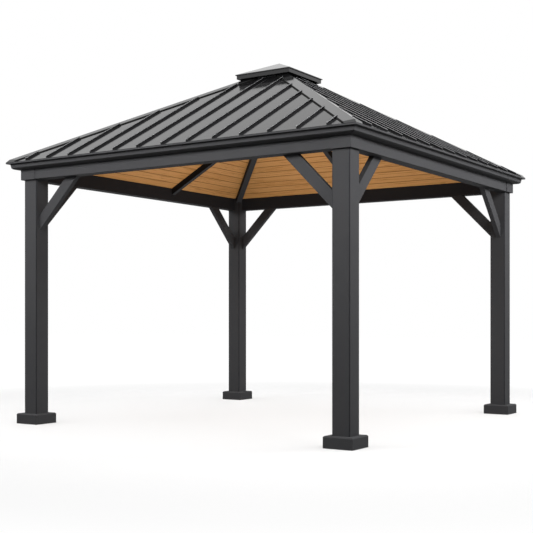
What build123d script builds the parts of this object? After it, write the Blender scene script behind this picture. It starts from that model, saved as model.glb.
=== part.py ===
from build123d import *
import math
import os

# Square hip-roof metal gazebo. Lengths are in millimetres, angles in degrees.
# The origin is on the ground at the middle of the plan, +Z up, and the front is at -Y.
# A radius here is the distance from the middle to a side, measured square to that side.

# Posts and their feet
POST_PITCH = 3180.0         # between post centre lines, both ways
POST_SIDE = 150.0
POST_WALL = 3.0
POST_CORNER = 9.0
FOOT_PLATE_SIDE = 210.0
FOOT_PLATE_THICKNESS = 8.0
ANCHOR_SPACING = 180.0
ANCHOR_HOLE_RADIUS = 7.0
PLINTH_SIDE = 248.0
PLINTH_HEIGHT = 91.0
PLINTH_WALL = 4.0
PLINTH_BEVEL = 9.0
PLINTH_CORNER = 3.0
PLINTH_CLEARANCE = 0.3      # around the post where it leaves the plinth

# Beams, corner caps and knee braces
BEAM_UNDERSIDE = 2190.0
BEAM_HEIGHT = 140.0
BEAM_WIDTH = 105.0
BEAM_WALL = 3.0
BEAM_CORNER = 3.0
BEAM_PROUD = 18.0           # outer face of the beam beyond the post's outer face
CAP_PROUD = 5.0             # corner cap beyond the beams it joins
CAP_CORNER = 3.0
BRACE_REACH = 450.0         # out from the post and down from the beam
BRACE_DEPTH = 95.0
BRACE_WIDTH = 45.0
BRACE_WALL = 3.0
BRACE_CORNER = 3.0

# Roof slopes
ROOF_PITCH = 28.4
EAVE_REACH = 98.0           # lip beyond the beam's outer face
LIP_RISE = 15.0             # roof surface at the lip above the beam's top
PAN_THICKNESS = 3.0
SEAM_PITCH = 256.0
SEAM_HEIGHT = 15.0
SEAM_WEB = 5.0
SEAM_HEAD_WIDTH = 10.0
SEAM_HEAD_HEIGHT = 6.0
SEAM_SETBACK = 5.0          # seam end in from the lip
HIP_CAP_WIDTH = 144.0
HIP_CAP_RISE = 15.0         # its ridge above the line where two slopes meet
HIP_CAP_EDGE = 9.0          # its turned-down edges above the pans
HIP_CAP_WALL = 3.0
HIP_CAP_FOLD = 2.5          # round of its turned-down edges
HIP_CAP_RIDGE = 6.0         # round of its ridge
HIP_CAP_NOSE = 50.0         # pitch of its folded end at the eave
HIP_CAP_SETBACK = 1.0

# Crown-profile cornice, measured out and up from the beam's outer top edge
CORNICE_SEAT = 83.0         # width that rests on the beam
CORNICE_WALL = 2.5
CORNICE_LAP = 49.0          # how far it hangs down the beam's face
CORNICE_SOFFIT_RISE = 2.0
CORNICE_TOE_REACH = 64.0    # foot of the face
CORNICE_TOE_RISE = 16.0
CORNICE_TOE_ROUND = 24.0
CORNICE_FACE_RISE = 26.0
CORNICE_FACE_LEAN = 5.0
CORNICE_COVE = 9.0
LIP_DEPTH = 14.0            # upright face of the lip, with the pan's edge

# Ceiling, rafters and the ring at their head
CEILING_SEAT = 8.0          # lower face of the ceiling below the beam's top
CEILING_THICKNESS = 12.0
HIP_RAFTER_WIDTH = 60.0
HIP_RAFTER_DROP = 75.0      # below the ceiling, measured upright
MID_RAFTER_WIDTH = 50.0
MID_RAFTER_DROP = 66.0
SIDE_RAFTER_SHIFT = 380.0   # side slopes' rafters behind the middle of the side
VENT_RING_BAR = 40.0

# Cupola
CURB_SIDE = 430.0
CURB_WALL = 12.0
CUPOLA_SIDE = 580.0
CUPOLA_PITCH = 23.3
CUPOLA_GAP = 40.0           # skirt's lower edge above the roof surface
CUPOLA_SKIRT_HEIGHT = 47.0
CUPOLA_SKIRT_WALL = 3.0
CUPOLA_SHEET = 3.0
CUPOLA_LIP = 10.0
CUPOLA_LIP_DEPTH = 8.0

# Places worked out from the sizes
post_middle = POST_PITCH / 2
post_inner = post_middle - POST_SIDE / 2
post_outer = post_middle + POST_SIDE / 2
beam_outer = post_outer + BEAM_PROUD
beam_inner = beam_outer - BEAM_WIDTH
beam_top = BEAM_UNDERSIDE + BEAM_HEIGHT
lip_radius = beam_outer + EAVE_REACH
lip_height = beam_top + LIP_RISE
roof_slope = math.tan(math.radians(ROOF_PITCH))
pan_upright = PAN_THICKNESS / math.cos(math.radians(ROOF_PITCH))
roof_peak = lip_height + roof_slope * lip_radius
ceiling_foot = beam_top - CEILING_SEAT
ceiling_upright = CEILING_THICKNESS / math.cos(math.radians(ROOF_PITCH))
ceiling_peak = ceiling_foot + roof_slope * beam_inner
cornice_back = beam_outer - CORNICE_SEAT
cornice_foot = beam_top - CORNICE_LAP
curb_outer = CURB_SIDE / 2
cupola_slope = math.tan(math.radians(CUPOLA_PITCH))
cupola_sheet_upright = CUPOLA_SHEET / math.cos(math.radians(CUPOLA_PITCH))
skirt_outer = CUPOLA_SIDE / 2
skirt_bottom = roof_peak - roof_slope * skirt_outer + CUPOLA_GAP
skirt_top = skirt_bottom + CUPOLA_SKIRT_HEIGHT
cupola_peak = skirt_top + cupola_slope * skirt_outer
cupola_lip_radius = skirt_outer + CUPOLA_LIP
seam_run = lip_radius / math.cos(math.radians(ROOF_PITCH))
beyond = 3 * lip_radius     # larger than any piece, for cutting

SIDES = {"front": 0, "right": 90, "back": 180, "left": 270}
CORNERS = {"front_right": 0, "back_right": 90, "back_left": 180, "front_left": 270}


def roof_height(radius, peak=roof_peak, slope=roof_slope):
    """Height of a roof plane at a radius."""
    return peak - slope * radius


def outline(*points):
    """Flat face inside a closed line of straight edges."""
    return make_face(Polyline(*points, close=True))


def along_side(face, start, end):
    """Draws a face, given as radius and height, along the front side from start to end in x."""
    across = Plane(origin=(end, 0, 0), x_dir=(0, -1, 0), z_dir=(-1, 0, 0))
    return extrude(across * face, amount=end - start)


def along_hip(face, width):
    """Draws a face, given as distance from the middle and height, across the front right hip."""
    return Rot(0, 0, 45) * along_side(face, -width / 2, width / 2)


def square_block(radius, low, high):
    """Upright block on a square plan about the middle."""
    block = Box(2 * radius, 2 * radius, high - low, align=(Align.CENTER, Align.CENTER, Align.MIN))
    return Pos(0, 0, low) * block


def square_ring(outer, inner, low, high):
    """Upright square ring about the middle."""
    return square_block(outer, low, high) - square_block(inner, low, high)


def side_wedge(inset=0.0):
    """Everything on the front side of both hip planes, moved in from them by the inset."""
    shift = inset * math.sqrt(2)
    plan = outline((0, -shift), (shift - beyond, -beyond), (beyond - shift, -beyond))
    return extrude(plan, amount=2 * roof_peak)


def pyramid(peak, slope, low=0.0):
    """Everything below the four planes of a hip roof and above a level."""
    foot = (peak - low) / slope
    gable = along_side(outline((-foot, low), (foot, low), (0, peak)), -foot, foot)
    return gable & (Rot(0, 0, 90) * gable)


def slab(peak, upright, inner, outer):
    """One slope of a hip roof between two radii, under the plane that ends at the peak."""
    top_outer = roof_height(outer, peak)
    top_inner = roof_height(inner, peak)
    section = outline((outer, top_outer), (inner, top_inner),
                      (inner, top_inner - upright), (outer, top_outer - upright))
    return along_side(section, -outer, outer)


def box_section(width, depth, wall, corner):
    """Rectangular hollow section with rounded corners."""
    outer = RectangleRounded(width, depth, corner)
    return outer - offset(outer, -wall, kind=Kind.INTERSECTION)


def post():
    """Square tube on a welded foot plate with four anchor holes."""
    tube = Pos(0, 0, FOOT_PLATE_THICKNESS) * extrude(
        box_section(POST_SIDE, POST_SIDE, POST_WALL, POST_CORNER),
        amount=ceiling_foot - FOOT_PLATE_THICKNESS)
    plate = Rectangle(FOOT_PLATE_SIDE, FOOT_PLATE_SIDE)
    plate -= GridLocations(ANCHOR_SPACING, ANCHOR_SPACING, 2, 2) * Circle(ANCHOR_HOLE_RADIUS)
    return Pos(post_middle, -post_middle, 0) * (tube + extrude(plate, amount=FOOT_PLATE_THICKNESS))


def plinth():
    """Bevelled cover that hides the foot plate."""
    block = square_block(PLINTH_SIDE / 2, 0, PLINTH_HEIGHT)
    block = chamfer(block.faces().sort_by(Axis.Z)[-1].edges(), PLINTH_BEVEL)
    block &= extrude(RectangleRounded(PLINTH_SIDE, PLINTH_SIDE, PLINTH_CORNER), amount=PLINTH_HEIGHT)
    room = Box(PLINTH_SIDE - 2 * PLINTH_WALL, PLINTH_SIDE - 2 * PLINTH_WALL,
               PLINTH_HEIGHT - PLINTH_BEVEL - PLINTH_WALL,
               align=(Align.CENTER, Align.CENTER, Align.MIN))
    throat_side = POST_SIDE + 2 * PLINTH_CLEARANCE
    throat = extrude(RectangleRounded(throat_side, throat_side, POST_CORNER), amount=PLINTH_HEIGHT)
    return Pos(post_middle, -post_middle, 0) * (block - room - throat)


def beam():
    """Box beam between the inner faces of two posts."""
    section = Pos(beam_outer - BEAM_WIDTH / 2, beam_top - BEAM_HEIGHT / 2) * box_section(
        BEAM_WIDTH, BEAM_HEIGHT, BEAM_WALL, BEAM_CORNER)
    return along_side(section, -post_inner, post_inner)


def cap_legs(outer, low, high):
    """Two legs round the front right post's outer faces, out to a radius and between two heights."""
    plan = outline((post_inner, -outer), (outer, -outer), (outer, -post_inner),
                   (post_outer, -post_inner), (post_outer, -post_outer), (post_inner, -post_outer))
    return Pos(0, 0, low) * extrude(plan, amount=high - low)


def corner_cap():
    """Cap round a post head: flush with the beams behind the cornice, and proud of them below it."""
    cap = cap_legs(beam_outer + CAP_PROUD, BEAM_UNDERSIDE, cornice_foot)
    nose = cap.edges().filter_by(Axis.Z).sort_by(lambda e: e.center().X - e.center().Y)[-1]
    return fillet(nose, CAP_CORNER) + cap_legs(beam_outer, cornice_foot, beam_top)


def brace():
    """Knee brace in the front opening at the front right post, with both ends cut to seat."""
    run = BRACE_REACH - BRACE_DEPTH * math.sqrt(2) / 2
    low = Vector(post_inner, 0, BEAM_UNDERSIDE - run)
    slant = Plane(origin=low, x_dir=(0, 1, 0), z_dir=(-1, 0, 1))
    tube = extrude(slant * box_section(BRACE_WIDTH, BRACE_DEPTH, BRACE_WALL, BRACE_CORNER),
                   amount=run * math.sqrt(2) + BRACE_DEPTH)
    tube += extrude(slant * box_section(BRACE_WIDTH, BRACE_DEPTH, BRACE_WALL, BRACE_CORNER),
                    amount=-BRACE_DEPTH)
    room = Pos(post_inner - BRACE_REACH, 0, 0) * Box(
        BRACE_REACH, BEAM_WIDTH, BEAM_UNDERSIDE, align=(Align.MIN, Align.CENTER, Align.MIN))
    return Pos(0, -beam_inner - BRACE_WIDTH / 2, 0) * (tube & room)


def braces():
    """Pair of knee braces at the front right post, one under each beam."""
    first = brace()
    second = mirror(first, about=Plane(origin=(0, 0, 0), z_dir=(1, 1, 0)))
    return Compound(children=[first, second])


def cornice_section():
    """Closed outline of the crown profile, as radius and height."""
    toe = (beam_outer + CORNICE_TOE_REACH, cornice_foot + CORNICE_TOE_RISE)
    bend = (toe[0] - CORNICE_TOE_ROUND, cornice_foot + CORNICE_SOFFIT_RISE)
    brow = (toe[0] + CORNICE_FACE_LEAN, toe[1] + CORNICE_FACE_RISE)
    lip_under = lip_height - LIP_DEPTH
    cove_end = (brow[0] + CORNICE_COVE, lip_under)
    underside = roof_peak - pan_upright
    lines = [
        Line((beam_outer, cornice_foot), bend),
        TangentArc(bend, toe, tangent=(bend[0] - beam_outer, CORNICE_SOFFIT_RISE)),
        Line(toe, brow),
        TangentArc(brow, cove_end, tangent=(CORNICE_FACE_LEAN, CORNICE_FACE_RISE)),
        Polyline(cove_end, (lip_radius, lip_under), (lip_radius, roof_height(lip_radius, underside)),
                 (cornice_back, roof_height(cornice_back, underside)), (cornice_back, beam_top),
                 (beam_outer, beam_top), (beam_outer, cornice_foot)),
    ]
    return make_face(lines)


def cornice():
    """Hollow crown moulding along the front, mitred at both corners."""
    outer = cornice_section()
    hollow = outer - offset(outer, -CORNICE_WALL, kind=Kind.INTERSECTION)
    return along_side(hollow, -lip_radius, lip_radius) & side_wedge()


def seam_places():
    """Distances from the middle of a side to its standing seams."""
    count = int((lip_radius - HIP_CAP_WIDTH) / SEAM_PITCH)
    return [SEAM_PITCH * k for k in range(-count, count + 1)]


def seams():
    """Standing seams of the front slope, each an upright web with a folded head."""
    web_top = SEAM_HEIGHT - SEAM_HEAD_HEIGHT
    root = -PAN_THICKNESS / 2
    section = outline((-SEAM_WEB / 2, root), (SEAM_WEB / 2, root), (SEAM_WEB / 2, web_top),
                      (SEAM_HEAD_WIDTH / 2, web_top), (SEAM_HEAD_WIDTH / 2, SEAM_HEIGHT),
                      (-SEAM_HEAD_WIDTH / 2, SEAM_HEIGHT), (-SEAM_HEAD_WIDTH / 2, web_top),
                      (-SEAM_WEB / 2, web_top))
    pitch = math.radians(ROOF_PITCH)
    up_slope = Plane(origin=(0, -lip_radius, lip_height), x_dir=(-1, 0, 0),
                     z_dir=(0, math.cos(pitch), math.sin(pitch)))
    bars = [extrude(up_slope * Pos(place, 0) * section, amount=seam_run) for place in seam_places()]
    keep = side_wedge(HIP_CAP_WIDTH / 2) & square_ring(
        lip_radius - SEAM_SETBACK, curb_outer, 0, 2 * roof_peak)
    return [bar & keep for bar in bars]


def roof_slope_sheet():
    """Front slope: pan with its standing seams, mitred under the hip caps."""
    sheet = slab(roof_peak, pan_upright, curb_outer, lip_radius) & side_wedge()
    for bar in seams():
        sheet += bar
    return sheet


def hip_tent(width, rise, edge_height, fold, ridge):
    """Bar along the front right hip: a ridge, two wings down to edges over the pans, and flanks."""
    lean = math.atan(roof_slope / math.sqrt(2))
    pan_fall = math.sin(lean)
    half = width / 2
    top = rise * math.cos(lean)
    edge = edge_height / math.cos(math.atan(pan_fall)) - half * pan_fall
    section = outline((-half, edge - width), (-half, edge), (0, top), (half, edge), (half, edge - width))
    section = fillet(section.vertices().group_by(Axis.Y)[1], fold)
    section = fillet(section.vertices().sort_by(Axis.Y)[-1], ridge)
    reach = lip_radius + width
    up_hip = Plane(origin=(0, -reach * math.sqrt(2), roof_height(reach)), x_dir=(-1, 0, 0),
                   z_dir=(0, math.cos(lean), math.sin(lean)))
    return Rot(0, 0, 45) * extrude(up_hip * section, amount=reach * math.sqrt(2) / math.cos(lean))


def hip_cap():
    """Folded sheet cap over the front right hip, seated on both slopes, its end folded to the lip."""
    foot = lip_radius - HIP_CAP_SETBACK
    nose_slope = math.tan(math.radians(HIP_CAP_NOSE))
    nose_peak = roof_height(foot) + nose_slope * foot
    nose_upright = HIP_CAP_WALL / math.cos(math.radians(HIP_CAP_NOSE))
    wing_upright = HIP_CAP_WALL / math.cos(math.radians(ROOF_PITCH))
    outer = hip_tent(HIP_CAP_WIDTH, HIP_CAP_RISE, HIP_CAP_EDGE, HIP_CAP_FOLD, HIP_CAP_RIDGE)
    room = hip_tent(HIP_CAP_WIDTH - 2 * HIP_CAP_WALL, HIP_CAP_RISE - wing_upright,
                    HIP_CAP_EDGE - HIP_CAP_WALL, HIP_CAP_FOLD / 2, HIP_CAP_RIDGE / 2)
    cap = outer & pyramid(nose_peak, nose_slope)
    cap -= room & pyramid(nose_peak - nose_upright, nose_slope)
    cap -= square_block(curb_outer, 0, 2 * roof_peak)
    return cap - pyramid(roof_peak, roof_slope)


def rafter_room():
    """Space that rafters may fill: under the pans, between the ring and the cornices' backs."""
    room = pyramid(roof_peak - pan_upright, roof_slope, BEAM_UNDERSIDE) & square_block(
        cornice_back, BEAM_UNDERSIDE, roof_peak)
    room -= square_block(curb_outer, BEAM_UNDERSIDE, roof_peak)
    room -= square_ring(beyond, beam_inner, BEAM_UNDERSIDE, beam_top)
    for angle in CORNERS.values():
        head = Pos(post_middle, -post_middle, 0) * Box(
            POST_SIDE, POST_SIDE, ceiling_foot, align=(Align.CENTER, Align.CENTER, Align.MIN))
        room -= Rot(0, 0, angle) * head
    return room


def hip_rafter(room):
    """Rafter from the front right post head to the ring."""
    low = ceiling_peak - HIP_RAFTER_DROP
    tail = cornice_back * math.sqrt(2)
    face = outline((0, low), (tail, roof_height(cornice_back, low)), (tail, roof_peak), (0, roof_peak))
    return along_hip(face, HIP_RAFTER_WIDTH) & room


def mid_rafter_blank(shift):
    """Uncut rafter square to the front side, its middle moved along the side by the shift."""
    low = ceiling_peak - MID_RAFTER_DROP
    face = outline((0, low), (cornice_back, roof_height(cornice_back, low)),
                   (cornice_back, roof_peak), (0, roof_peak))
    return along_side(face, shift - MID_RAFTER_WIDTH / 2, shift + MID_RAFTER_WIDTH / 2)


def mid_rafter_shift(side):
    """Where a side's middle rafter stands along it, to the right as seen from outside."""
    return {"front": 0.0, "back": 0.0, "right": SIDE_RAFTER_SHIFT, "left": -SIDE_RAFTER_SHIFT}[side]


def mid_rafters(room):
    """One rafter under each slope, ending at the ring or at a hip rafter."""
    keep = room & side_wedge(HIP_RAFTER_WIDTH / 2)
    made = []
    for side, angle in SIDES.items():
        made += (Rot(0, 0, angle) * (mid_rafter_blank(mid_rafter_shift(side)) & keep)).solids()
    return Compound(children=made)


def ceiling(side):
    """Two ceiling panels under the front slope, one each side of its middle rafter."""
    panel = slab(ceiling_peak + ceiling_upright, ceiling_upright, curb_outer, beam_inner)
    panel = panel & side_wedge(HIP_RAFTER_WIDTH / 2)
    panel -= mid_rafter_blank(mid_rafter_shift(side))
    return Compound(children=panel.solids())


def vent_ring():
    """Square ring that joins the heads of the rafters."""
    low = roof_height(curb_outer, ceiling_peak - HIP_RAFTER_DROP)
    return square_ring(curb_outer, curb_outer - VENT_RING_BAR, low, roof_height(curb_outer))


def cupola_curb():
    """Upright collar that carries the cupola roof above the ring."""
    walls = square_ring(curb_outer, curb_outer - CURB_WALL, roof_height(curb_outer), cupola_peak)
    return walls & pyramid(cupola_peak - cupola_sheet_upright, cupola_slope, skirt_bottom - CUPOLA_GAP)


def cupola_roof():
    """Folded sheet pyramid with a turned-down lip."""
    low = roof_height(cupola_lip_radius, cupola_peak, cupola_slope) - CUPOLA_LIP_DEPTH
    sheet = pyramid(cupola_peak, cupola_slope, low) & square_block(cupola_lip_radius, low, cupola_peak)
    hollow = pyramid(cupola_peak - cupola_sheet_upright, cupola_slope, low) & square_block(
        cupola_lip_radius - CUPOLA_SHEET, low, cupola_peak)
    return sheet - hollow


def cupola_skirt():
    """Upright skirt under the edge of the cupola roof."""
    walls = square_ring(skirt_outer, skirt_outer - CUPOLA_SKIRT_WALL, skirt_bottom, cupola_peak)
    return walls & pyramid(cupola_peak - cupola_sheet_upright, cupola_slope, skirt_bottom)


def build():
    """All pieces by name."""
    nodes = {}
    room = rafter_room()
    at_corners = {"post": post(), "plinth": plinth(), "corner_cap": corner_cap(), "braces": braces(),
                  "hip_cap": hip_cap(), "hip_rafter": hip_rafter(room)}
    along_sides = {"beam": beam(), "cornice": cornice(), "roof": roof_slope_sheet()}
    for stem, piece in at_corners.items():
        for corner, angle in CORNERS.items():
            nodes[f"{stem}_{corner}"] = Rot(0, 0, angle) * piece
    for stem, piece in along_sides.items():
        for side, angle in SIDES.items():
            nodes[f"{stem}_{side}"] = Rot(0, 0, angle) * piece
    for side, angle in SIDES.items():
        nodes[f"ceiling_{side}"] = Rot(0, 0, angle) * ceiling(side)
    nodes["mid_rafters"] = mid_rafters(room)
    nodes["vent_ring"] = vent_ring()
    nodes["cupola_curb"] = cupola_curb()
    nodes["cupola_roof"] = cupola_roof()
    nodes["cupola_skirt"] = cupola_skirt()
    return nodes


os.makedirs("parts", exist_ok=True)
for node, shape in build().items():
    export_step(shape, f"parts/{node}.step")
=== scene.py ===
"""Metal gazebo: its finishes, ceiling boards, roof sheets, foam strips of painted shadow beside the
hip caps, and the studio round it.
"""

import logging
import math
from dataclasses import dataclass
from enum import Enum
from typing import Any, Mapping, Sequence

import bmesh
import bpy
from mathutils import Matrix, Vector

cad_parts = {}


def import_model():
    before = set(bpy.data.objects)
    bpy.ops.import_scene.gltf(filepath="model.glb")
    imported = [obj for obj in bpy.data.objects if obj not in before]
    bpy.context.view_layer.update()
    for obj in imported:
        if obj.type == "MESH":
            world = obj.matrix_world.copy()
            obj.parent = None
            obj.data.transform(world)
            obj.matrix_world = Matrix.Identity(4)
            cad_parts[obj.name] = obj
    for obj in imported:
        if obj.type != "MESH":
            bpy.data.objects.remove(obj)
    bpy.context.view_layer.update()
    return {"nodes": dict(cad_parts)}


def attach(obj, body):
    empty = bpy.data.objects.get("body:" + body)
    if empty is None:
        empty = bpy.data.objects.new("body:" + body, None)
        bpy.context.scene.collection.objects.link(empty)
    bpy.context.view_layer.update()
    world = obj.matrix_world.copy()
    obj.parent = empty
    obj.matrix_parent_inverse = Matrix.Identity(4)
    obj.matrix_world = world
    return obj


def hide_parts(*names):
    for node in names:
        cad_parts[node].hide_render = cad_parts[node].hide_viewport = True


log = logging.getLogger("gazebo")

MM = 0.001
IMAGE_SIDE = 533
# Colour sockets of a Mix node
MIX_A, MIX_B, MIX_OUT = 6, 7, 2
# Most of a noise pattern lies between these
NOISE_RANGE = {"From Min": 0.3, "From Max": 0.7}
# Scatters whole numbers evenly between 0 and 1
SCATTER = 0.61803
# Points nearer than this lie together
TOUCH = 0.1 * MM


class Side(Enum):
    """A side of the gazebo, with its quarter turns from the front."""

    FRONT = 0
    RIGHT = 1
    BACK = 2
    LEFT = 3

    @property
    def label(self) -> str:
        """Name of the side in the CAD nodes."""
        return self.name.lower()

    @property
    def turn(self) -> Matrix:
        """Turn from the front to this side."""
        return Matrix.Rotation(self.value * math.pi / 2, 4, "Z")


def linear(colour: str) -> tuple[float, float, float, float]:
    """Turns an sRGB hex colour to linear.

    Args:
        colour: six hex digits after a hash.

    Returns:
        Red, green, blue and an alpha of 1.
    """
    parts = [int(colour[i : i + 2], 16) / 255 for i in (1, 3, 5)]
    r, g, b = (p / 12.92 if p <= 0.04045 else ((p + 0.055) / 1.055) ** 2.4 for p in parts)
    return r, g, b, 1.0


def add(
    tree: bpy.types.NodeTree,
    kind: str,
    values: Mapping[str | int, Any] | None = None,
    links: Mapping[str | int, bpy.types.NodeSocket] | None = None,
    **settings: Any,
) -> bpy.types.Node:
    """Adds a node with its settings and links.

    Args:
        tree: node tree that it goes into.
        kind: Blender's identifier for the node.
        values: input names or numbers and their values.
        links: input names or numbers and the sockets that feed them.
        settings: properties of the node itself.

    Returns:
        The new node.
    """
    made = tree.nodes.new(kind)
    for name, value in settings.items():
        setattr(made, name, value)
    for key, value in (values or {}).items():
        made.inputs[key].default_value = value
    for key, socket in (links or {}).items():
        tree.links.new(socket, made.inputs[key])
    return made


def new_material(name: str) -> tuple[bpy.types.Material, bpy.types.NodeTree, bpy.types.Node]:
    """Makes a material that holds a Principled shader.

    Args:
        name: name of the real finish.

    Returns:
        The material, its node tree and its shader.
    """
    made = bpy.data.materials.new(name)
    made.use_nodes = True
    return made, made.node_tree, made.node_tree.nodes["Principled BSDF"]


def dress(piece: bpy.types.Object, finish: bpy.types.Material) -> None:
    """Gives the whole piece one material."""
    piece.data.materials.clear()
    piece.data.materials.append(finish)
    for face in piece.data.polygons:
        face.material_index = 0


def piece_from(mesh: bmesh.types.BMesh, name: str) -> bpy.types.Object:
    """Turns a bmesh into a piece that rides on the frame.

    Args:
        mesh: finished bmesh, in metres and in place. It is freed.
        name: name of the piece.

    Returns:
        The new object, at the origin.
    """
    data = bpy.data.meshes.new(name)
    mesh.to_mesh(data)
    mesh.free()
    made = bpy.data.objects.new(name, data)
    bpy.context.scene.collection.objects.link(made)
    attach(made, "root")
    return made


def cut_off(mesh: bmesh.types.BMesh, point: Vector, outward: Vector) -> None:
    """Cuts off what lies beyond a plane and closes the ends.

    Args:
        mesh: solids to cut.
        point: a point on the plane.
        outward: direction of the side that goes.
    """
    geometry = mesh.verts[:] + mesh.edges[:] + mesh.faces[:]
    cut = bmesh.ops.bisect_plane(
        mesh, geom=geometry, plane_co=point, plane_no=outward, clear_outer=True
    )
    edges = [g for g in cut["geom_cut"] if isinstance(g, bmesh.types.BMEdge)]
    bmesh.ops.holes_fill(mesh, edges=edges, sides=0)


def add_bar(mesh: bmesh.types.BMesh, size: Vector, middle: Vector) -> list[bmesh.types.BMVert]:
    """Adds a bar square to the axes.

    Args:
        mesh: the bmesh that it goes into.
        size: its three sides.
        middle: its middle.

    Returns:
        Its corners.
    """
    verts = bmesh.ops.create_cube(mesh, size=1.0)["verts"]
    bmesh.ops.scale(mesh, verts=verts, vec=size)
    bmesh.ops.translate(mesh, verts=verts, vec=middle)
    return verts


def join_into(mesh: bmesh.types.BMesh, other: bmesh.types.BMesh) -> None:
    """Adds another bmesh to this one and frees it."""
    data = bpy.data.meshes.new("joined")
    other.to_mesh(data)
    other.free()
    mesh.from_mesh(data)
    bpy.data.meshes.remove(data)


@dataclass(frozen=True)
class PowderCoat:
    """Satin powder coat on steel tube and sheet: dark, even, with a faint orange peel."""

    name: str = "satin_powder_coated_steel"
    colour: str = "#38383a"
    dusted: str = "#3d3d3e"
    # Typical resin coat
    ior: float = 1.5
    roughness: float = 0.8
    # A fine texture dulls the glint of the resin
    specular: float = 0.12
    # Change of roughness over the peel
    matter: float = 0.05
    glossier: float = 0.04
    # Orange peel is about 1 mm across. It is drawn at 12 mm, so that it shows.
    peel: float = 12 * MM
    peel_depth: float = 0.3 * MM
    # Cloudy change in tone from the spray, about a hand wide
    cloud: float = 160 * MM

    def material(self) -> bpy.types.Material:
        """Builds the powder coat."""
        made, tree, shader = new_material(self.name)
        shader.inputs["IOR"].default_value = self.ior
        shader.inputs["Specular IOR Level"].default_value = self.specular
        place = add(tree, "ShaderNodeTexCoord").outputs["Object"]
        cloud = add(
            tree,
            "ShaderNodeTexNoise",
            {"Scale": 1 / self.cloud, "Detail": 4.0, "Roughness": 0.6},
            {"Vector": place},
        )
        peel = add(
            tree,
            "ShaderNodeTexNoise",
            {"Scale": 1 / self.peel, "Detail": 2.0, "Roughness": 0.5},
            {"Vector": place},
        )
        tone = add(
            tree,
            "ShaderNodeMix",
            {MIX_A: linear(self.colour), MIX_B: linear(self.dusted)},
            {0: cloud.outputs["Fac"]},
            data_type="RGBA",
        )
        matt = add(
            tree,
            "ShaderNodeMapRange",
            {
                **NOISE_RANGE,
                "To Min": self.roughness - self.glossier,
                "To Max": self.roughness + self.matter,
            },
            {"Value": peel.outputs["Fac"]},
        )
        relief = add(
            tree,
            "ShaderNodeBump",
            {"Strength": 0.25, "Distance": self.peel_depth},
            {"Height": peel.outputs["Fac"]},
        )
        tree.links.new(tone.outputs[MIX_OUT], shader.inputs["Base Color"])
        tree.links.new(matt.outputs["Result"], shader.inputs["Roughness"])
        tree.links.new(relief.outputs["Normal"], shader.inputs["Normal"])
        return made


@dataclass(frozen=True)
class CoilCoat:
    """Coil-coated galvanised steel sheet: smooth paint that waves a little between its seams.

    The edge attribute is 1 on the sides of a seam's head, which take a painted highlight.
    """

    name: str = "coil_coated_galvanised_steel"
    colour: str = "#171718"
    washed: str = "#1c1c1d"
    # Painted highlight on the sides of a seam's head, for the light that its folded edge catches
    painted_highlight: str = "#8c8c8e"
    ior: float = 1.5
    specular: float = 0.2
    roughness: float = 0.1
    # Change of roughness over the marks
    matter: float = 0.03
    glossier: float = 0.02
    # Oil canning between seams 256 mm apart
    wave: float = 330 * MM
    wave_depth: float = 1.5 * MM
    # Rain marks and dust, a few centimetres wide
    mark: float = 45 * MM

    def material(self) -> bpy.types.Material:
        """Builds the roof paint."""
        made, tree, shader = new_material(self.name)
        shader.inputs["IOR"].default_value = self.ior
        shader.inputs["Specular IOR Level"].default_value = self.specular
        place = add(tree, "ShaderNodeTexCoord").outputs["Object"]
        wave = add(
            tree,
            "ShaderNodeTexNoise",
            {"Scale": 1 / self.wave, "Detail": 1.0},
            {"Vector": place},
        )
        mark = add(
            tree,
            "ShaderNodeTexNoise",
            {"Scale": 1 / self.mark, "Detail": 5.0, "Roughness": 0.6},
            {"Vector": place},
        )
        tone = add(
            tree,
            "ShaderNodeMix",
            {MIX_A: linear(self.colour), MIX_B: linear(self.washed)},
            {0: mark.outputs["Fac"]},
            data_type="RGBA",
        )
        matt = add(
            tree,
            "ShaderNodeMapRange",
            {
                **NOISE_RANGE,
                "To Min": self.roughness - self.glossier,
                "To Max": self.roughness + self.matter,
            },
            {"Value": mark.outputs["Fac"]},
        )
        relief = add(
            tree,
            "ShaderNodeBump",
            {"Strength": 0.3, "Distance": self.wave_depth},
            {"Height": wave.outputs["Fac"]},
        )
        # Painted highlight: the sides of the seams' heads are given a light colour
        edge = add(tree, "ShaderNodeAttribute", attribute_name="edge").outputs["Fac"]
        highlighted = add(
            tree,
            "ShaderNodeMix",
            {MIX_B: linear(self.painted_highlight)},
            {0: edge, MIX_A: tone.outputs[MIX_OUT]},
            data_type="RGBA",
        )
        tree.links.new(highlighted.outputs[MIX_OUT], shader.inputs["Base Color"])
        tree.links.new(matt.outputs["Result"], shader.inputs["Roughness"])
        tree.links.new(relief.outputs["Normal"], shader.inputs["Normal"])
        return made


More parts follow.
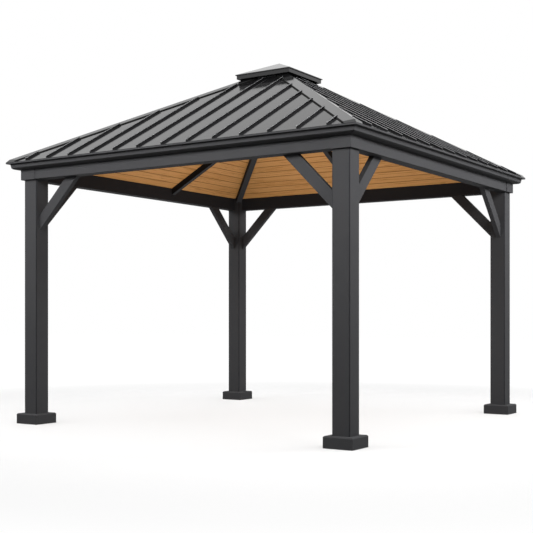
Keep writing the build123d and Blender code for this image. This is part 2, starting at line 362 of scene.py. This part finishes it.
@dataclass(frozen=True)
class PaintedShadowFoam:
    """Black closed-cell rubber foam, laid as strips of painted shadow beside the hip caps: matt,
    with open pores on its cut face.
    """

    name: str = "black_foam_painted_shadow"
    colour: str = "#0c0c0c"
    worn: str = "#171716"
    ior: float = 1.5
    specular: float = 0.1
    roughness: float = 0.95
    # Pores are under 1 mm. They are drawn at 4 mm, so that they show.
    pore: float = 4 * MM
    pore_depth: float = 0.5 * MM

    def material(self) -> bpy.types.Material:
        """Builds the foam of the painted shadow strips."""
        made, tree, shader = new_material(self.name)
        shader.inputs["IOR"].default_value = self.ior
        shader.inputs["Specular IOR Level"].default_value = self.specular
        shader.inputs["Roughness"].default_value = self.roughness
        place = add(tree, "ShaderNodeTexCoord").outputs["Object"]
        pores = add(tree, "ShaderNodeTexVoronoi", {"Scale": 1 / self.pore}, {"Vector": place})
        tone = add(
            tree,
            "ShaderNodeMix",
            {MIX_A: linear(self.colour), MIX_B: linear(self.worn)},
            {0: pores.outputs["Distance"]},
            data_type="RGBA",
        )
        relief = add(
            tree,
            "ShaderNodeBump",
            {"Strength": 0.4, "Distance": self.pore_depth},
            {"Height": pores.outputs["Distance"]},
        )
        tree.links.new(tone.outputs[MIX_OUT], shader.inputs["Base Color"])
        tree.links.new(relief.outputs["Normal"], shader.inputs["Normal"])
        return made


@dataclass(frozen=True)
class CedarBoards:
    """Oiled cedar-toned boards: even golden wood, thin dark growth lines and dark grooves.

    The map gives metres along the board in U and across it in V. The tone attribute is a number
    for each board, and the groove attribute is 1 on its bevelled edges.
    """

    name: str = "cedar_toned_boards"
    light: str = "#e8ac6c"
    dark: str = "#d69856"
    line: str = "#c98d4d"
    shadow: str = "#99653a"
    ior: float = 1.5
    specular: float = 0.2
    roughness: float = 0.55
    # Change of roughness over the fibres
    matter: float = 0.08
    glossier: float = 0.06
    # How much of the change in tone is from board to board. The rest is along the fibres.
    board_share: float = 0.35
    # Growth lines are about 1 mm wide. They are drawn near 4 mm, so that they show.
    line_spacing: float = 26 * MM
    line_length: float = 900 * MM
    line_share: float = 0.025
    # Fibre streaks, drawn 6 mm wide so that they show
    fibre_width: float = 6 * MM
    fibre_length: float = 260 * MM
    fibre_depth: float = 0.5 * MM

    def material(self) -> bpy.types.Material:
        """Builds the timber finish."""
        made, tree, shader = new_material(self.name)
        shader.inputs["IOR"].default_value = self.ior
        shader.inputs["Specular IOR Level"].default_value = self.specular
        along = add(tree, "ShaderNodeUVMap", uv_map="board").outputs["UV"]
        board = add(tree, "ShaderNodeAttribute", attribute_name="tone").outputs["Fac"]
        groove = add(tree, "ShaderNodeAttribute", attribute_name="groove").outputs["Fac"]
        fibres = self._streaks(tree, along, self.fibre_length, self.fibre_width)
        rings = self._streaks(tree, along, self.line_length, self.line_spacing)
        fibre_part = add(
            tree, "ShaderNodeMath", {1: 1 - self.board_share}, {0: fibres}, operation="MULTIPLY"
        )
        level = add(
            tree,
            "ShaderNodeMath",
            {1: self.board_share},
            {0: board, 2: fibre_part.outputs[0]},
            operation="MULTIPLY_ADD",
        )
        wood = add(
            tree,
            "ShaderNodeMix",
            {MIX_A: linear(self.light), MIX_B: linear(self.dark)},
            {0: level.outputs[0]},
            data_type="RGBA",
        )
        # A growth line runs where the ring pattern passes its middle value
        on_line = add(
            tree,
            "ShaderNodeMath",
            {1: 0.5, 2: self.line_share},
            {0: rings},
            operation="COMPARE",
        )
        lined = add(
            tree,
            "ShaderNodeMix",
            {MIX_B: linear(self.line)},
            {0: on_line.outputs[0], MIX_A: wood.outputs[MIX_OUT]},
            data_type="RGBA",
        )
        grooved = add(
            tree,
            "ShaderNodeMix",
            {MIX_B: linear(self.shadow)},
            {0: groove, MIX_A: lined.outputs[MIX_OUT]},
            data_type="RGBA",
        )
        matt = add(
            tree,
            "ShaderNodeMapRange",
            {"To Min": self.roughness + self.matter, "To Max": self.roughness - self.glossier},
            {"Value": fibres},
        )
        relief = add(
            tree,
            "ShaderNodeBump",
            {"Strength": 0.35, "Distance": self.fibre_depth},
            {"Height": fibres},
        )
        tree.links.new(grooved.outputs[MIX_OUT], shader.inputs["Base Color"])
        tree.links.new(matt.outputs["Result"], shader.inputs["Roughness"])
        tree.links.new(relief.outputs["Normal"], shader.inputs["Normal"])
        return made

    @staticmethod
    def _streaks(
        tree: bpy.types.NodeTree, along: bpy.types.NodeSocket, length: float, width: float
    ) -> bpy.types.NodeSocket:
        """Draws noise stretched along the boards.

        Args:
            tree: node tree that it goes into.
            along: socket with the boards' map.
            length: length of a streak.
            width: its width.

        Returns:
            Socket with the pattern, from 0 to 1.
        """
        scale = (1 / length, 1 / width, 1.0)
        scaled = add(tree, "ShaderNodeMapping", {"Scale": scale}, {"Vector": along})
        noise = add(
            tree,
            "ShaderNodeTexNoise",
            {"Scale": 1.0, "Detail": 3.0, "Roughness": 0.55, "Distortion": 0.3},
            {"Vector": scaled.outputs["Vector"]},
        )
        return noise.outputs["Fac"]


@dataclass(frozen=True)
class FloorPaint:
    """Matt studio floor, which shows as white where nothing shades it."""

    name: str = "matt_pale_floor"
    colour: str = "#c4c4c4"
    # What the floor throws back on the object is less than a white one would
    returned: str = "#484848"
    # Share of plain white near the object, where the shadow is, and far from it
    white_near: float = 0.4
    white_far: float = 1.0
    near: float = 2.9
    far: float = 5.5
    lift: float = 1.02

    def material(self) -> bpy.types.Material:
        """Builds the floor: part white to the camera and to reflections, so a soft shadow stays."""
        made, tree, shader = new_material(self.name)
        shader.inputs["Roughness"].default_value = 0.9
        shader.inputs["Specular IOR Level"].default_value = 0.0
        ray = add(tree, "ShaderNodeLightPath")
        seen = add(
            tree,
            "ShaderNodeMath",
            links={0: ray.outputs["Is Camera Ray"], 1: ray.outputs["Is Glossy Ray"]},
            operation="MAXIMUM",
        )
        tone = add(
            tree,
            "ShaderNodeMix",
            {MIX_A: linear(self.returned), MIX_B: linear(self.colour)},
            {0: seen.outputs[0]},
            data_type="RGBA",
        )
        tree.links.new(tone.outputs[MIX_OUT], shader.inputs["Base Color"])
        place = add(tree, "ShaderNodeTexCoord").outputs["Object"]
        reach = add(tree, "ShaderNodeVectorMath", links={0: place}, operation="LENGTH")
        fade = add(
            tree,
            "ShaderNodeMapRange",
            {
                "From Min": self.near,
                "From Max": self.far,
                "To Min": self.white_near,
                "To Max": self.white_far,
            },
            {"Value": reach.outputs["Value"]},
        )
        share = add(
            tree,
            "ShaderNodeMath",
            links={0: seen.outputs[0], 1: fade.outputs["Result"]},
            operation="MULTIPLY",
        )
        white = add(tree, "ShaderNodeEmission", {"Strength": self.lift})
        mixed = add(
            tree,
            "ShaderNodeMixShader",
            links={0: share.outputs[0], 1: shader.outputs[0], 2: white.outputs[0]},
        )
        tree.links.new(mixed.outputs[0], tree.nodes["Material Output"].inputs["Surface"])
        return made


@dataclass
class Ceiling:
    """Boards under the four slopes, laid along the eaves and cut at the rafters."""

    slot: str = "ceiling_boards"
    pitch: float = math.radians(28.4)
    # Underside: its height at the middle of the plan, and the radii that it runs between
    peak: float = 3175.2 * MM
    inner: float = 215 * MM
    outer: float = 1578 * MM
    thickness: float = 12 * MM
    rows: int = 17
    joint: float = 1 * MM
    groove: float = 3.5 * MM
    # Half the rafters' widths, and how far the side slopes' middle rafters stand off the middle
    hip_half: float = 30 * MM
    mid_half: float = 25 * MM
    side_shift: float = 380 * MM
    # Each board starts this far along the grain and across it from the one before
    grain_step: tuple[float, float] = (3.7, 0.37)

    def build(self, side: Side, finish: bpy.types.Material) -> bpy.types.Object:
        """Lays the boards of one slope.

        Args:
            side: the slope's side.
            finish: material of the boards.

        Returns:
            The boards as one piece, in place of the CAD ceiling.
        """
        slope = bmesh.new()
        for half in (-1, 1):
            join_into(slope, self._panel(side, half))
        bmesh.ops.transform(slope, verts=slope.verts, matrix=side.turn)
        made = piece_from(slope, f"ceiling_boards_{side.label}")
        dress(made, finish)
        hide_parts(f"ceiling_{side.label}")
        return made

    def _panel(self, side: Side, half: int) -> bmesh.types.BMesh:
        """Lays the boards on one side of the middle rafter, under the front slope.

        Args:
            side: the side that the panel is for.
            half: -1 for the left panel, 1 for the right one.

        Returns:
            The boards, cut at the rafters, the beam and the ring.
        """
        panel = bmesh.new()
        tone = panel.faces.layers.float.new("tone")
        groove = panel.faces.layers.float.new("groove")
        uv = panel.loops.layers.uv.new("board")
        width = (self.outer - self.inner) / math.cos(self.pitch) / self.rows
        first = (side.value * 2 + (half > 0)) * self.rows
        for row in range(self.rows):
            spare = width if row in (0, self.rows - 1) else 0.0
            down = spare if row == 0 else 0.0
            size = Vector((2 * self.outer, width - self.joint + spare, self.thickness))
            middle = Vector((0, (row + 0.5) * width + spare / 2 - down, self.thickness / 2))
            verts = add_bar(panel, size, middle)
            for face in {f for v in verts for f in v.link_faces}:
                face[tone] = ((first + row) * SCATTER) % 1.0
                for loop in face.loops:
                    loop[uv].uv = loop.vert.co.xy + Vector(self.grain_step) * (first + row)
        under = [e for e in panel.edges if all(v.co.z < TOUCH for v in e.verts)]
        bevelled = bmesh.ops.bevel(
            panel,
            geom=[e for e in under if e.calc_length() > self.outer],
            offset=self.groove,
            affect="EDGES",
            segments=1,
            profile=0.5,
            material=-1,
        )
        for face in bevelled["faces"]:
            face[groove] = 1.0
        bmesh.ops.rotate(panel, verts=panel.verts, matrix=Matrix.Rotation(self.pitch, 3, "X"))
        foot = Vector((0, -self.outer, self.peak - math.tan(self.pitch) * self.outer))
        bmesh.ops.translate(panel, verts=panel.verts, vec=foot)
        shift = {Side.RIGHT: self.side_shift, Side.LEFT: -self.side_shift}.get(side, 0.0)
        cut_off(panel, Vector((0, -self.hip_half * math.sqrt(2), 0)), Vector((half, 1, 0)))
        cut_off(panel, Vector((shift + half * self.mid_half, 0, 0)), Vector((-half, 0, 0)))
        cut_off(panel, Vector((0, -self.outer, 0)), Vector((0, -1, 0)))
        cut_off(panel, Vector((0, -self.inner, 0)), Vector((0, 1, 0)))
        return panel


@dataclass
class RoofSlopes:
    """Standing-seam sheets of the four slopes, and black foam strips of painted shadow along the
    hip caps' edges.
    """

    slot: str = "roof_metal"
    pitch: float = math.radians(28.4)
    # Radius and height of the lower edge, and radius of the upper one
    lip: float = 1781 * MM
    lip_height: float = 2345 * MM
    inner: float = 215 * MM
    thickness: float = 3 * MM
    seam_pitch: float = 256 * MM
    seams_each_way: int = 6
    seam_height: float = 18 * MM
    web: float = 5 * MM
    head_width: float = 10 * MM
    head_height: float = 3.5 * MM
    head_round: float = 1 * MM
    setback: float = 5 * MM
    # From the hip to the seams' ends, inside the cap, and to the cap's edge
    seam_end: float = 60 * MM
    cap_half: float = 72 * MM
    # Black strips of painted shadow beside the hip caps' edges
    foam_width: float = 8 * MM
    foam_height: float = 6.5 * MM

    def build(self, side: Side, finish: bpy.types.Material) -> bpy.types.Object:
        """Folds the sheet of one slope.

        Args:
            side: the slope's side.
            finish: material of the sheet.

        Returns:
            The pan and its seams as one piece, in place of the CAD slope.
        """
        run = 2 * self.lip
        pan = bmesh.new()
        pan.faces.layers.float.new("edge")
        middle = Vector((0, run / 2 - self.setback, -self.thickness / 2))
        add_bar(pan, Vector((2 * self.lip, run, self.thickness)), middle)
        self._pitch_up(pan)
        self._trim(pan, self.lip, 0.0)
        seams = bmesh.new()
        seams.faces.layers.float.new("edge")
        for k in range(-self.seams_each_way, self.seams_each_way + 1):
            self._seam(seams, k * self.seam_pitch, run)
        self._pitch_up(seams)
        self._trim(seams, self.lip - self.setback, self.seam_end)
        join_into(pan, seams)
        bmesh.ops.transform(pan, verts=pan.verts, matrix=side.turn)
        made = piece_from(pan, f"roof_sheet_{side.label}")
        dress(made, finish)
        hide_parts(f"roof_{side.label}")
        return made

    def foam(self, side: Side, finish: bpy.types.Material) -> bpy.types.Object:
        """Lays the two foam strips of one slope against the hip caps' edges, as painted shadow.

        Args:
            side: the slope's side.
            finish: material of the foam.

        Returns:
            The strips as one piece.
        """
        run = 2 * self.lip
        rise = self.foam_height + self.thickness / 2
        middle = Vector((0, run / 2, self.foam_height - rise / 2))
        both = bmesh.new()
        for half in (-1, 1):
            strip = bmesh.new()
            add_bar(strip, Vector((2 * self.lip, run, rise)), middle)
            self._pitch_up(strip)
            cut_off(strip, Vector((0, 0, 0)), Vector((-half, 0, 0)))
            cut_off(strip, self._off_hip(self.cap_half), Vector((half, 1, 0)))
            cut_off(strip, self._off_hip(self.cap_half + self.foam_width), Vector((-half, -1, 0)))
            cut_off(strip, Vector((0, -self.lip + self.setback, 0)), Vector((0, -1, 0)))
            cut_off(strip, Vector((0, -self.inner, 0)), Vector((0, 1, 0)))
            join_into(both, strip)
        bmesh.ops.transform(both, verts=both.verts, matrix=side.turn)
        made = piece_from(both, f"hip_painted_shadow_{side.label}")
        dress(made, finish)
        return made

    def _seam(self, mesh: bmesh.types.BMesh, place: float, run: float) -> None:
        """Adds one seam, an upright web with a rounded head, before the slope is pitched.

        Args:
            mesh: the bmesh that it goes into.
            place: its distance from the middle of the side.
            run: its length before it is cut.
        """
        # The web runs from inside the pan to the middle of the head
        web_top = self.seam_height - self.head_height / 2
        rise = web_top + self.thickness / 2
        along = run / 2 - self.setback
        add_bar(mesh, Vector((self.web, run, rise)), Vector((place, along, web_top - rise / 2)))
        head = Vector((self.head_width, run, self.head_height))
        verts = add_bar(mesh, head, Vector((place, along, web_top)))
        # The sides of the head are marked for the roof paint's painted highlight
        edge = mesh.faces.layers.float["edge"]
        for face in {f for v in verts for f in v.link_faces}:
            off_middle = abs(face.calc_center_median().x - place)
            face[edge] = 1.0 if off_middle > self.web / 2 else 0.0
        long_edges = {e for v in verts for e in v.link_edges if e.calc_length() > self.lip}
        bmesh.ops.bevel(
            mesh,
            geom=list(long_edges),
            offset=self.head_round,
            affect="EDGES",
            segments=2,
            profile=0.5,
            material=-1,
        )

    def _pitch_up(self, mesh: bmesh.types.BMesh) -> None:
        """Turns a flat slope to its pitch and puts its foot at the front lip."""
        bmesh.ops.rotate(mesh, verts=mesh.verts, matrix=Matrix.Rotation(self.pitch, 3, "X"))
        bmesh.ops.translate(mesh, verts=mesh.verts, vec=Vector((0, -self.lip, self.lip_height)))

    def _trim(self, mesh: bmesh.types.BMesh, foot: float, from_hip: float) -> None:
        """Cuts a slope at its lip, at the cupola's curb and along both hips.

        Args:
            mesh: the slope.
            foot: radius of its lower end.
            from_hip: distance from the hips at which it ends.
        """
        cut_off(mesh, Vector((0, -foot, 0)), Vector((0, -1, 0)))
        cut_off(mesh, Vector((0, -self.inner, 0)), Vector((0, 1, 0)))
        for half in (-1, 1):
            cut_off(mesh, self._off_hip(from_hip), Vector((half, 1, 0)))

    @staticmethod
    def _off_hip(distance: float) -> Vector:
        """Gives a point of the planes at a distance from the hips of the front slope."""
        return Vector((0, -distance * math.sqrt(2), 0))


@dataclass
class Steelwork:
    """The CAD nodes, dressed by what they are made of, with darker copies of the powder coat as
    painted shade on inner faces, bends, undersides and rafters' sides.
    """

    roof_names: tuple[str, ...] = ("roof_", "hip_cap_", "cupola_roof", "cupola_skirt")
    ceiling_names: tuple[str, ...] = ("ceiling_",)
    ring_names: tuple[str, ...] = ("beam_", "cornice_", "corner_cap_")
    rafter_names: tuple[str, ...] = ("hip_rafter_", "mid_rafters")
    post_names: tuple[str, ...] = ("post_",)
    # A normal's upward part on undersides is below this
    underside: float = -0.35
    # Both level parts of a bend's normal are above this, and its upward part is below it
    bent: float = 0.15

    def dress(
        self,
        nodes: Mapping[str, bpy.types.Object],
        coats: Sequence[bpy.types.Material],
        roof: bpy.types.Material,
    ) -> None:
        """Gives the roof nodes the roof paint and the rest the powder coats.

        Args:
            nodes: the CAD nodes by name.
            coats: powder coat on outer faces, then its darker copies as painted shade on inner
                faces and bends, and on undersides.
            roof: the roof paint.
        """
        for name, piece in sorted(nodes.items()):
            if name.startswith(self.ceiling_names):
                continue
            dress(piece, roof if name.startswith(self.roof_names) else coats[0])
            if name.startswith(self.ring_names + self.rafter_names + self.post_names):
                for coat in coats[1:]:
                    piece.data.materials.append(coat)
                for face in piece.data.polygons:
                    face.material_index = self._coat_of(name, face.normal, face.center)

    def _coat_of(self, name: str, normal: Vector, centre: Vector) -> int:
        """Picks the coat of one face, by where painted shade goes on it.

        Args:
            name: the CAD node.
            normal: the face's normal.
            centre: its middle.

        Returns:
            0 for the outer coat, 1 for the painted shade of inner faces and bends, 2 for the deeper
            painted shade of undersides and rafters' sides.
        """
        # Painted shade: a post's rounded corners take the darker coat, for the dark line along them
        if name.startswith(self.post_names):
            level = min(abs(normal.x), abs(normal.y))
            return int(level > self.bent and abs(normal.z) < self.bent)
        if name.startswith(self.rafter_names):
            return 0 if normal.z < self.underside else 2
        if normal.z < self.underside:
            return 2
        return int(normal.xy.dot(centre.xy) < 0)


@dataclass(frozen=True)
class Softbox:
    """A soft lamp, unseen in reflections."""

    name: str
    size: tuple[float, float]
    power: float
    place: tuple[float, float, float]
    target: tuple[float, float, float]

    def hang(self) -> bpy.types.Object:
        """Hangs the lamp, its long side level."""
        light = bpy.data.lights.new(self.name, "AREA")
        light.shape = "RECTANGLE"
        light.size, light.size_y = self.size
        light.energy = self.power
        lamp = bpy.data.objects.new(self.name, light)
        lamp.visible_glossy = False
        lamp.location = self.place
        aim = Vector(self.target) - Vector(self.place)
        lamp.rotation_euler = aim.to_track_quat("-Z", "Y").to_euler()
        bpy.context.scene.collection.objects.link(lamp)
        return lamp


@dataclass
class Studio:
    """White room: soft lights overhead, along each side, off two corners and under the roof."""

    floor_side: float = 60.0
    fill: float = 0.24
    softboxes: Sequence[Softbox] = (
        Softbox("overhead", (9.0, 9.0), 350.0, (0, 0, 8.0), (0, 0, 0)),
        Softbox("front_strip", (6.0, 1.0), 165.0, (0, -3.9, 3.2), (0, -1.7, 2.1)),
        Softbox("right_strip", (6.0, 1.0), 215.0, (3.9, 0, 3.2), (1.7, 0, 2.1)),
        Softbox("back_strip", (6.0, 1.0), 140.0, (0, 3.9, 3.2), (0, 1.7, 2.1)),
        Softbox("left_strip", (6.0, 1.0), 140.0, (-3.9, 0, 3.2), (-1.7, 0, 2.1)),
        Softbox("front_left_corner", (2.5, 2.5), 140.0, (-5.5, -6.0, 3.7), (0, 0, 1.8)),
        Softbox("back_right_corner", (2.5, 2.5), 170.0, (7.0, 5.5, 3.7), (0, 0, 1.8)),
        Softbox("under_roof", (1.6, 1.6), 36.0, (0, 0, 0.1), (0, 0, 3.0)),
    )

    def build(self) -> None:
        """Builds the floor, the world and the lamps."""
        self._floor()
        self._world()
        for softbox in self.softboxes:
            softbox.hang()

    def _floor(self) -> None:
        """Lays the floor."""
        plane = bmesh.new()
        bmesh.ops.create_grid(plane, x_segments=1, y_segments=1, size=self.floor_side / 2)
        data = bpy.data.meshes.new("floor")
        plane.to_mesh(data)
        plane.free()
        floor = bpy.data.objects.new("floor", data)
        bpy.context.scene.collection.objects.link(floor)
        dress(floor, FloorPaint().material())

    def _world(self) -> None:
        """White to the camera and in reflections, and a plain level of light for the rest."""
        world = bpy.data.worlds.new("studio")
        bpy.context.scene.world = world
        world.use_nodes = True
        tree = world.node_tree
        tree.nodes.clear()
        ray = add(tree, "ShaderNodeLightPath")
        mirror = add(
            tree,
            "ShaderNodeMath",
            links={0: ray.outputs["Is Glossy Ray"], 1: ray.outputs["Is Transmission Ray"]},
            operation="MAXIMUM",
        )
        seen = add(
            tree,
            "ShaderNodeMath",
            links={0: ray.outputs["Is Camera Ray"], 1: mirror.outputs[0]},
            operation="MAXIMUM",
        )
        light = add(tree, "ShaderNodeBackground", {"Color": (1, 1, 1, 1), "Strength": self.fill})
        white = add(tree, "ShaderNodeBackground", {"Color": (1, 1, 1, 1), "Strength": 1.0})
        mixed = add(
            tree,
            "ShaderNodeMixShader",
            links={0: seen.outputs[0], 1: light.outputs[0], 2: white.outputs[0]},
        )
        add(tree, "ShaderNodeOutputWorld", links={"Surface": mixed.outputs[0]})


@dataclass
class PhotoCamera:
    """Camera at the photograph's place: low, off the front right corner."""

    place: tuple[float, float, float] = (5.2244, -8.2054, 0.9731)
    heading: float = 33.2
    focal_pixels: float = 1024.682
    horizon_row: float = 315.298
    sensor: float = 36.0

    def build(self) -> bpy.types.Object:
        """Sets up the scene's camera."""
        lens = bpy.data.cameras.new("photo_camera")
        lens.sensor_width = self.sensor
        lens.lens = self.sensor * self.focal_pixels / IMAGE_SIDE
        lens.shift_y = (self.horizon_row - IMAGE_SIDE / 2) / IMAGE_SIDE
        lens.clip_end = 200.0
        camera = bpy.data.objects.new("photo_camera", lens)
        camera.location = self.place
        camera.rotation_euler = (math.pi / 2, 0, math.radians(self.heading))
        bpy.context.scene.collection.objects.link(camera)
        bpy.context.scene.camera = camera
        return camera


def main() -> None:
    """Loads the frame, builds the pieces in order and reports each."""
    logging.basicConfig(level=logging.INFO, format="%(message)s")
    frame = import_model()
    bpy.context.scene.view_settings.view_transform = "Standard"
    PhotoCamera().build()
    Studio().build()
    log.info("studio and camera set")
    cap_paint = CoilCoat(name="coil_coated_hip_flashing", specular=0.5)
    # Painted shade: darker copies of the powder coat for inner faces and bends, and for undersides
    # and rafters' sides
    coats = [
        PowderCoat(),
        PowderCoat(name="powder_coat_painted_shade_inner", colour="#28282a", dusted="#2c2c2e"),
        PowderCoat(name="powder_coat_painted_shade_under", colour="#19191a", dusted="#1d1d1e"),
    ]
    Steelwork().dress(frame["nodes"], [coat.material() for coat in coats], cap_paint.material())
    log.info("%d CAD nodes dressed", len(frame["nodes"]))
    ceiling, boards = Ceiling(), CedarBoards().material()
    for side in Side:
        made = ceiling.build(side, boards)
        log.info("%s: %d faces", made.name, len(made.data.polygons))
    slopes, sheet, foam = RoofSlopes(), CoilCoat().material(), PaintedShadowFoam().material()
    for side in Side:
        for made in (slopes.build(side, sheet), slopes.foam(side, foam)):
            log.info("%s: %d faces", made.name, len(made.data.polygons))


if __name__ == "__main__":
    main()
